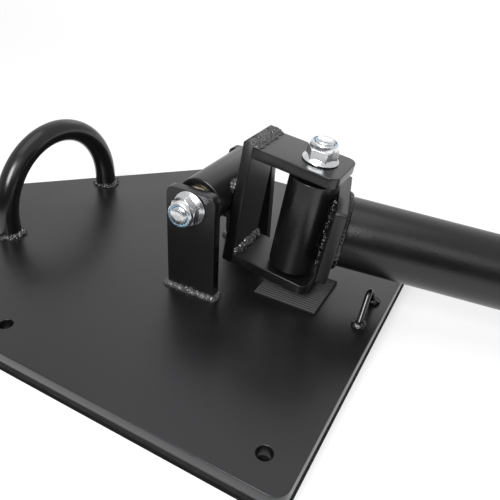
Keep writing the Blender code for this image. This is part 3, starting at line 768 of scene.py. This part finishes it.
# The uprights' beads use the palest weld coat, painted lighter as painted sheen.
for side, sign in (("near", -1), ("far", 1)):
    root = flat + np.array([0.0, sign * (UPRIGHT_INNER + BAR_THICK / 2), ON_PLATE])
    bead(
        "upright_weld_" + side,
        root,
        root + outwards * WELD_LEG,
        root + np.array([0, 0, WELD_LEG]),
        "base",
        seed=40 + sign,
        closed=True,
        coat=PALE_WELD_COAT,
    )

# %% [markdown]
# ### Straight beads
#
# The bracket's three plates meet at two inside corners. The upper bead is thick and runs over the back
# plate's edge, and the lower one fills its corner. Both are the same function with other toes.


# %% Straight beads
def straight_bead(name, root, toe_a, toe_b, length, frame_of, body, seed, along=(0, 1, 0), **look):
    """A bead along one direction of a frame, given its root and toes in the plane across it."""
    at = np.linspace(-length / 2, length / 2, int(length / BEAD_STEP))[:, None] * np.array(along, float)
    lines = [in_frame(np.array(point, float) + at, frame_of) for point in (root, toe_a, toe_b)]
    bead(name, *lines, body, seed=seed, **look)


corner_x = BRACKET_FACE + SEAT_GAP
bracket_bead = BAR_WIDTH - 0.0008
inside_top = BRACKET_TOP + SEAT_GAP
straight_bead(
    "bracket_weld_top",
    (corner_x - 0.0005, 0, inside_top),
    (corner_x + 0.0062, 0, inside_top),
    (corner_x - 0.0085, 0, inside_top + BRACKET_LIP - 0.0002),
    bracket_bead,
    BRACKET,
    "bracket",
    51,
    pitch=0.0036,
    bulge=0.10,
)
inside_low = BAR_THICK - BRACKET_DROP + SEAT_GAP
straight_bead(
    "bracket_weld_bottom",
    (corner_x, 0, inside_low),
    (corner_x + 0.006, 0, inside_low),
    (corner_x, 0, inside_low + 0.006),
    bracket_bead,
    BRACKET,
    "bracket",
    52,
    pitch=0.0034,
    lumps=1.2,
    ripple=0.06,
)

# %% [markdown]
# ### Beads in a groove
#
# Where a tube lies against a plate, a narrow groove is left on each side, and the bead fills it. Its toes
# are measured on the tube, as an angle round it, and on the plate, as a share of the tube's radius.


# %% Beads beside the tubes
def groove_bead(name, side, length, middle, frame_of, along, body, seed, round_tube, out_plate, **look):
    """A bead in the groove between a tube and a plate that touches it.

    Across the bead, the tube's toe is at round_tube degrees round the tube, and the plate's toe is square
    out from the tube's axis by out_plate times its radius. The root lies behind, where they nearly touch.
    """
    hug = TUBE_RADIUS + SEAT_GAP
    other = np.cross(np.array(along, float), np.array([1.0, 0, 0]))
    spot = np.array(middle, float)
    angle = math.radians(round_tube)
    root = spot + np.array([BACK_FACE - 0.0012, 0, 0]) + side * 0.36 * hug * other
    toe_tube = spot + np.array([hug * math.cos(angle), 0, 0]) + side * hug * math.sin(angle) * other
    toe_plate = spot + np.array([BACK_FACE - SEAT_GAP, 0, 0]) + side * out_plate * hug * other
    straight_bead(name, root, toe_plate, toe_tube, length, frame_of, body, seed, along, **look)


for side, sign, seed in (("upper", 1, 62), ("lower", -1, 61)):
    groove_bead(
        "pivot_tube_weld_" + side,
        sign,
        BAR_WIDTH - 0.001,
        (0, 0, 0),
        BRACKET,
        (0, -1, 0),
        "bracket",
        seed,
        round_tube=52,
        out_plate=0.80,
        nose=0.004,
    )
for side, sign, seed in (("near", -1, 63), ("far", 1, 64)):
    groove_bead(
        "swivel_weld_" + side,
        sign,
        SWIVEL_PLATE_HEIGHT - 0.001,
        (0, 0, SWIVEL_MIDDLE),
        BARREL,
        (0, 0, 1),
        "barrel",
        seed,
        round_tube=34,
        out_plate=0.66,
        pitch=0.003,
        lumps=1.5,
        ripple=0.03,
        coat=DARK_WELD_COAT,
    )

# %% [markdown]
# ## Nuts and bolts
#
# The bolts are M16, and their heads and nuts are hexagons 24 mm across the flats. A hexagon could be a
# cylinder of six sides, but worn and plated corners are a little round. So it is a radius that depends
# on the angle, and one number sets how sharp its corners are.

# %% Hexagon
BOLT_RADIUS = 0.008
HOLE_RADIUS = 0.0083
HEX_FLATS = 0.024
HEX_SHARPNESS = 90


def hexagon(angle):
    """The radius of a hexagon with slightly worn corners.

    It is (flats / 2) / (sum of the six faces' cosines, each to the power p) to the power 1/p. The
    sharpness is p.
    """
    faces = np.arange(6) * np.pi / 3
    turn = np.clip(np.cos(np.asarray(angle)[..., None] - faces), 0.0, None)
    return HEX_FLATS / 2 / (turn**HEX_SHARPNESS).sum(axis=-1) ** (1 / HEX_SHARPNESS)


print("hexagon corner at", round(float(hexagon(math.radians(30))) * 1000, 2), "mm")

# %% [markdown]
# ### Flange nuts
#
# A locking flange nut is a cone-shaped flange, a hexagon with turned-off corners and a round collar that
# grips a nylon ring. Cut from separate solids it would need three joins. Seen from its axis, each part is
# a radius at an angle and a height, and the nut's radius is simply the largest of the three.

# %% Nuts
NUT_HEIGHT = 0.0168
NUT_HEX_TOP = 0.0122
FLANGE_RADIUS, FLANGE_EDGE = 0.0158, 0.0016
COLLAR_RADIUS, COLLAR_SHOULDER = 0.0119, 0.0017
INSERT_RADIUS, INSERT_DEPTH, INSERT_SINK = 0.0098, 0.0032, 0.0005
PIVOT_NUT_TURN, SWIVEL_NUT_TURN = math.radians(-8), math.radians(-24)


def flange_nut(name, turn, frame_of, body):
    """A locking flange nut on z = 0 of its frame, with its nylon ring.

    The outer rows climb from the flange's edge to the collar's shoulder. Then come a quarter circle over
    the collar's rim, the pocket of the ring and the bore, and the last row joins the first.
    """
    angle = np.linspace(0, 2 * np.pi, 240, endpoint=False)[None, :]
    shoulder_height = NUT_HEIGHT - COLLAR_SHOULDER
    height = np.concatenate([
        [0.0, 0.0001, 0.0003, 0.0006, 0.0010, 0.0013],
        np.linspace(FLANGE_EDGE, 0.0046, 16),
        np.linspace(0.0050, 0.0106, 10),
        np.linspace(0.0108, NUT_HEX_TOP + 0.0002, 20),
        np.linspace(NUT_HEX_TOP + 0.0006, shoulder_height, 6),
    ])[:, None]
    edge = FLANGE_RADIUS - 0.0005 * (np.abs(height - 0.0008) / 0.0008) ** 3
    slope = FLANGE_RADIUS - 0.0005 - (height - FLANGE_EDGE) * 1.25
    flange = np.where(height < FLANGE_EDGE, edge, slope)
    cone = 0.0114 + (NUT_HEX_TOP - height) * math.sqrt(3)
    hex_part = np.minimum(hexagon(angle - turn), np.maximum(cone, 0.0))
    collar = COLLAR_RADIUS - 0.0006 * np.clip((height - NUT_HEX_TOP) / 0.004, 0, 1) ** 2
    outer = np.maximum(np.maximum(flange + 0 * angle, hex_part), collar)
    swing = np.linspace(0.1, 1.0, 9)[:, None] * np.pi / 2
    lip = COLLAR_RADIUS - 0.0004 - INSERT_RADIUS - SEAT_GAP
    rim = np.hstack([
        INSERT_RADIUS + SEAT_GAP + lip * np.cos(swing),
        shoulder_height + COLLAR_SHOULDER * np.sin(swing),
    ])
    seat = NUT_HEIGHT - INSERT_SINK - INSERT_DEPTH - SEAT_GAP
    inner = np.array([
        (INSERT_RADIUS + SEAT_GAP, NUT_HEIGHT - 0.0004),
        (INSERT_RADIUS + SEAT_GAP, seat),
        (HOLE_RADIUS, seat),
        (HOLE_RADIUS, 0.0006),
        (0.0090, 0.0),
    ])
    turned_rows = np.vstack([rim, inner])
    radius = np.vstack([outer, turned_rows[:, :1] + 0 * angle])
    level_z = np.vstack([height, turned_rows[:, 1:]]) + 0 * angle
    grid = np.stack([radius * np.cos(angle), radius * np.sin(angle), level_z], axis=-1)
    shell(name, in_frame(grid, frame_of), body, ZINC, ring=True, sharp=50)
    base = seat + SEAT_GAP
    top = NUT_HEIGHT - INSERT_SINK
    corners = [
        (HOLE_RADIUS, base),
        (INSERT_RADIUS, base),
        (INSERT_RADIUS, top),
        (HOLE_RADIUS, top - 0.0005),
    ]
    ring_rows = turned(softened(corners, 0.0005), frame_of, 96)
    shell(name + "_insert", ring_rows, body, NYLON, ring=True)


NUT_AT_PIVOT = turned_to(AT_PIVOT, (0, -1, 0), (1, 0, 0), (0, -UPRIGHT_OUTER - SEAT_GAP, 0))
NUT_ON_BRACKET = turned_to(BRACKET, (0, 0, 1), (1, 0, 0), (SWIVEL_X, 0, BRACKET_TOP + SEAT_GAP))
flange_nut("pivot_nut", PIVOT_NUT_TURN, NUT_AT_PIVOT, "base")
flange_nut("swivel_nut", SWIVEL_NUT_TURN, NUT_ON_BRACKET, "bracket")

# %% [markdown]
# ### Bolts
#
# A bolt is a hexagon head, a plain shank and a thread. A thread could be a screwed profile, but here the
# whole bolt is one radius again. The thread is a ridge that climbs one pitch per turn: at a given angle
# and height, its depth depends on how far the height is from the nearest ridge.

# %% Bolts
HEAD_HEIGHT = 0.0100
THREAD_SHOW = 0.0022
THREAD_PITCH, THREAD_DEPTH = 0.002, 0.0011
WASHER_RADIUS, WASHER_THICK = 0.015, 0.003


def hex_bolt(name, grip, frame_of, body):
    """A bolt with its head below z = 0 of its frame and its threaded end up.

    The thread's radius is the bolt's less depth times ridge, and the ridge falls from 1 to 0 and climbs
    again over each pitch. At the tip the thread fades out and the bolt narrows.
    """
    length = grip + NUT_HEIGHT + THREAD_SHOW
    angle = np.linspace(0, 2 * np.pi, 192, endpoint=False)[None, :]
    head = np.array([
        [-HEAD_HEIGHT, -0.0098, -0.0092, -0.0085, -0.0075, -0.0065, -0.0050, -0.0020, -0.0004, 0.0],
    ]).T
    cone = 0.0112 + (head + HEAD_HEIGHT) * 1.73
    head_radius = np.minimum(hexagon(angle), cone)
    head_radius[-1] -= 0.0003
    shank = np.array([0.0, length - 0.030])[:, None]
    thread = np.arange(length - 0.028, length, 0.0002)[:, None]
    ridge = np.abs((thread / THREAD_PITCH - angle / (2 * np.pi)) % 1 - 0.5) * 2
    tip = np.clip((length - thread) / 0.0015, 0, 1)
    thread_radius = BOLT_RADIUS - THREAD_DEPTH * ridge * np.clip(tip * 3, 0, 1) - 0.0014 * (1 - tip)
    end = np.array([[length - 0.0002], [length], [length]])
    end_radius = np.array([[0.0065], [0.0061], [0.0030]])
    shank_radius = BOLT_RADIUS + 0 * shank + 0 * angle
    radius = np.vstack([head_radius, shank_radius, thread_radius, end_radius + 0 * angle])
    height = np.vstack([head, shank, thread, end]) + 0 * angle
    grid = np.stack([radius * np.cos(angle), radius * np.sin(angle), height], axis=-1)
    shell(name, in_frame(grid, frame_of), body, ZINC, sharp=50)


head_seat = UPRIGHT_OUTER + SEAT_GAP + WASHER_THICK + SEAT_GAP
level_bolt = turned_to(AT_PIVOT, (0, -1, 0), (1, 0, 0), (0, head_seat, 0))
hex_bolt("pivot_bolt", head_seat + UPRIGHT_OUTER + SEAT_GAP, level_bolt, "base")
under = BRACKET_DROP + SEAT_GAP
upright_bolt = turned_to(BRACKET, (0, 0, 1), (1, 0, 0), (SWIVEL_X, 0, -under))
hex_bolt("swivel_bolt", BRACKET_TOP + SEAT_GAP + under, upright_bolt, "bracket")

washer = (WASHER_RADIUS, HOLE_RADIUS, WASHER_THICK)
washer_frame = turned_to(AT_PIVOT, (0, 1, 0), (1, 0, 0), (0, UPRIGHT_OUTER + SEAT_GAP, 0))
tube("pivot_washer", *washer, washer_frame, "base", "zinc_steel", ZINC, around=96, edge=0.0005)

# %% [markdown]
# ### Bushes
#
# A bush is a bearing ring pressed into each end of a tube, and its flange keeps the tube off the steel
# beside it. It is a turned profile, like the tubes, with one more step in its outline.

# %% Bushes
BUSH_SLEEVE_LENGTH = 0.020
BUSH_FLANGE_RADIUS = 0.015


def bush(name, flange, frame_of, body, finish):
    """A flanged bush, its flange on the tube's end at z = 0 and its sleeve down the bore."""
    sleeve = TUBE_BORE - SEAT_GAP
    corners = [
        (HOLE_RADIUS, -BUSH_SLEEVE_LENGTH),
        (sleeve, -BUSH_SLEEVE_LENGTH),
        (sleeve, SEAT_GAP),
        (BUSH_FLANGE_RADIUS, SEAT_GAP),
        (BUSH_FLANGE_RADIUS, SEAT_GAP + flange),
        (HOLE_RADIUS, SEAT_GAP + flange),
    ]
    rows = turned(softened(corners, 0.0005), frame_of, 96)
    shell(name, rows, body, finish, ring=True)


half_tube = PIVOT_TUBE_LENGTH / 2
for side, sign in (("near", -1), ("far", 1)):
    end = turned_to(BRACKET, (0, sign, 0), (1, 0, 0), (0, sign * half_tube, 0))
    bush("pivot_bush_" + side, PIVOT_BUSH_FLANGE, end, "bracket", BRONZE)
# The swivel tube's bushes get the bronze painted nearly black, as painted shade.
for side, sign, height in (("upper", 1, SWIVEL_TUBE_TOP), ("lower", -1, SWIVEL_TUBE_BOTTOM)):
    end = turned_to(BARREL, (0, 0, sign), (1, 0, 0), (0, 0, height))
    bush("swivel_bush_" + side, SWIVEL_BUSH_FLANGE, end, "barrel", SHADE_PAINTED_BRONZE)

# %% [markdown]
# ## The bump pad
#
# A square of ribbed rubber is glued to the plate where the bracket comes down. A bump in the material
# would draw the ribs, but their outline shows at the pad's edge. So its section across the ribs is a row
# of rounded humps, and that section is carried along their length.

# %% Ribbed pad
PAD_LENGTH, PAD_WIDTH, PAD_THICK, PAD_BACK = 0.061, 0.059, 0.003, 0.0525
RIBS, RIB_HEIGHT = 18, 0.0018


def ribbed_pad():
    """The top is the thickness less a groove at every pitch: height times (1 - |sin|)."""
    across = np.linspace(-PAD_WIDTH / 2, PAD_WIDTH / 2, RIBS * 16 + 1)  # 16 points to a rib
    hump = np.abs(np.sin(np.pi * across / (PAD_WIDTH / RIBS)))
    top = PAD_THICK - RIB_HEIGHT * (1 - hump)
    section = np.concatenate([
        np.stack([across, top], axis=-1),
        [[PAD_WIDTH / 2, 0.0], [-PAD_WIDTH / 2, 0.0]],
    ])
    along = np.linspace(PAD_BACK, PAD_BACK + PAD_LENGTH, 24)[:, None]
    y, z = section[:, 0], section[:, 1] + ON_PLATE
    grid = np.stack([along + 0 * y, y + 0 * along, z + 0 * along], axis=-1)
    shell("bump_pad", grid, "base", PAD_RUBBER, sharp=50)


ribbed_pad()

# %% [markdown]
# ## The floor
#
# The object stands on a white studio floor. It is plainly lit, and it glows a little where the camera or
# a shiny surface looks at it, so that it comes out white and still keeps the object's shadow. It darkens
# towards the camera, because a photographer leaves the room dark there, and the barrel's near side
# mirrors that. The glow grows with distance behind the object, where the lamps don't reach.

# %% Floor
FLOOR_REACH = 6.0
FLOOR_COLOUR = 0.54
NEAR_GLOW, FAR_GLOW = 0.52, 0.68


def studio_floor():
    """A square floor: diffuse colour times sweep, plus glow times sweep for rays that look at it.

    The sweep is the share of light left and runs from 0.12 to 1. Both it and the glow depend on Y alone.
    """
    mesh = bpy.data.meshes.new("studio_floor")
    corners = [(x * FLOOR_REACH, y * FLOOR_REACH, 0) for x, y in ((-1, -1), (1, -1), (1, 1), (-1, 1))]
    mesh.from_pydata(corners, [], [(0, 1, 2, 3)])
    floor = bpy.data.objects.new("studio_floor", mesh)
    floor.location.z = -SEAT_GAP
    bpy.context.scene.collection.objects.link(floor)
    paint = Finish("studio_floor")
    parts = paint.add("ShaderNodeSeparateXYZ")
    paint.feed(parts.inputs[0], paint.place)
    sweep = paint.ranged(parts.outputs["Y"], -0.50, -0.24, 0.12, 1.0)
    glow = paint.ranged(parts.outputs["Y"], 0.3, 1.8, NEAR_GLOW, FAR_GLOW)
    rays = paint.add("ShaderNodeLightPath").outputs
    seen = paint.joined("MAXIMUM", rays["Is Camera Ray"], rays["Is Glossy Ray"])
    seen = paint.joined("MAXIMUM", seen, rays["Is Transmission Ray"])
    matt = paint.add("ShaderNodeBsdfDiffuse")
    paint.feed(matt.inputs["Color"], paint.mixed(sweep, grey(0.0), grey(FLOOR_COLOUR)))
    light = paint.add("ShaderNodeEmission")
    paint.feed(light.inputs["Color"], grey(1.0))
    strength = paint.joined("MULTIPLY", paint.joined("MULTIPLY", seen, glow), sweep)
    paint.feed(light.inputs["Strength"], strength)
    both = paint.add("ShaderNodeAddShader")
    paint.feed(both.inputs[0], matt.outputs[0])
    paint.feed(both.inputs[1], light.outputs[0])
    paint.tree.nodes.remove(paint.shader)
    paint.feed(paint.tree.nodes["Material Output"].inputs["Surface"], both.outputs[0])
    mesh.materials.append(paint.material)


studio_floor()
print("floor", 2 * FLOOR_REACH, "m across, glowing", NEAR_GLOW, "near and", FAR_GLOW, "far")

# %% [markdown]
# ## The light
#
# Product photographers light black metal with what it reflects. Here that is a white wall behind, which
# the flat plates mirror at a low angle, and a dark studio behind the camera, which the barrel mirrors as
# a dark band. A lamp in front draws the sharp highlights, a softer one at the right fills the shadows,
# one behind catches the upper edges, and one overhead gives the plain level.


# %% World and lamps
BACK_AND_UP = (-0.376, 1.034, 0.60)
SKY_STOPS = (
    (0.0, 0.04),
    (0.10, 0.04),
    (0.22, 0.14),
    (0.36, 0.42),
    (0.60, 0.60),
    (0.90, 0.68),
    (0.95, 0.84),
    (0.99, 1.0),
)


def studio_world():
    """White at the back, grey overhead and dark in front, by how far a direction points back and up.

    A direction's dot product with the back and up direction gives a position from 0 to 1, and the stops
    give the level at each position.
    """
    world = bpy.data.worlds.new("studio")
    bpy.context.scene.world = world
    world.use_nodes = True
    tree = world.node_tree
    background = tree.nodes["Background"]
    direction = tree.nodes.new("ShaderNodeTexCoord")
    towards = tree.nodes.new("ShaderNodeVectorMath")
    towards.operation = "DOT_PRODUCT"
    towards.inputs[1].default_value = BACK_AND_UP
    tree.links.new(direction.outputs["Generated"], towards.inputs[0])
    span = tree.nodes.new("ShaderNodeMapRange")
    span.inputs["From Min"].default_value = -1.25
    span.inputs["From Max"].default_value = 1.25
    tree.links.new(towards.outputs["Value"], span.inputs["Value"])
    ramp = tree.nodes.new("ShaderNodeValToRGB").color_ramp
    for position, level in SKY_STOPS[2:]:
        ramp.elements.new(position)
    for element, (position, level) in zip(ramp.elements, SKY_STOPS):
        element.position = position
        element.color = grey(level)
    tree.links.new(span.outputs["Result"], tree.nodes["Color Ramp"].inputs["Fac"])
    tree.links.new(tree.nodes["Color Ramp"].outputs["Color"], background.inputs["Color"])


def soft_lamp(name, place, aim, size, watts):
    """A rectangular lamp at a place, turned to face a point. The camera doesn't see it."""
    lamp = bpy.data.lights.new(name, "AREA")
    lamp.shape = "RECTANGLE"
    lamp.size, lamp.size_y = size
    lamp.energy = watts
    made = bpy.data.objects.new(name, lamp)
    made.visible_camera = False
    bpy.context.scene.collection.objects.link(made)
    way = np.array(aim, float) - np.array(place, float)
    axes = axes_from((1.0, 0.001, 0.0), -way)
    turn = np.eye(4)
    turn[:3, :3], turn[:3, 3] = axes, place
    made.matrix_world = Matrix(turn)


studio_world()
bpy.context.scene.view_settings.view_transform = "Standard"
soft_lamp("overhead", (-0.1, -0.1, 2.2), (0, 0, 0), (1.6, 1.6), 8)
soft_lamp("fill", (1.10, -0.95, 1.25), (0.1, 0, 0.1), (0.9, 0.7), 2.5)
soft_lamp("back", (-0.55, 2.0, 1.1), (0, 0, 0.1), (1.1, 0.6), 0.9)
soft_lamp("key", (0.06, -0.80, 0.70), (-0.20, -0.05, 0.06), (0.42, 0.42), 8.5)
print("sky of", len(SKY_STOPS), "levels and four lamps")
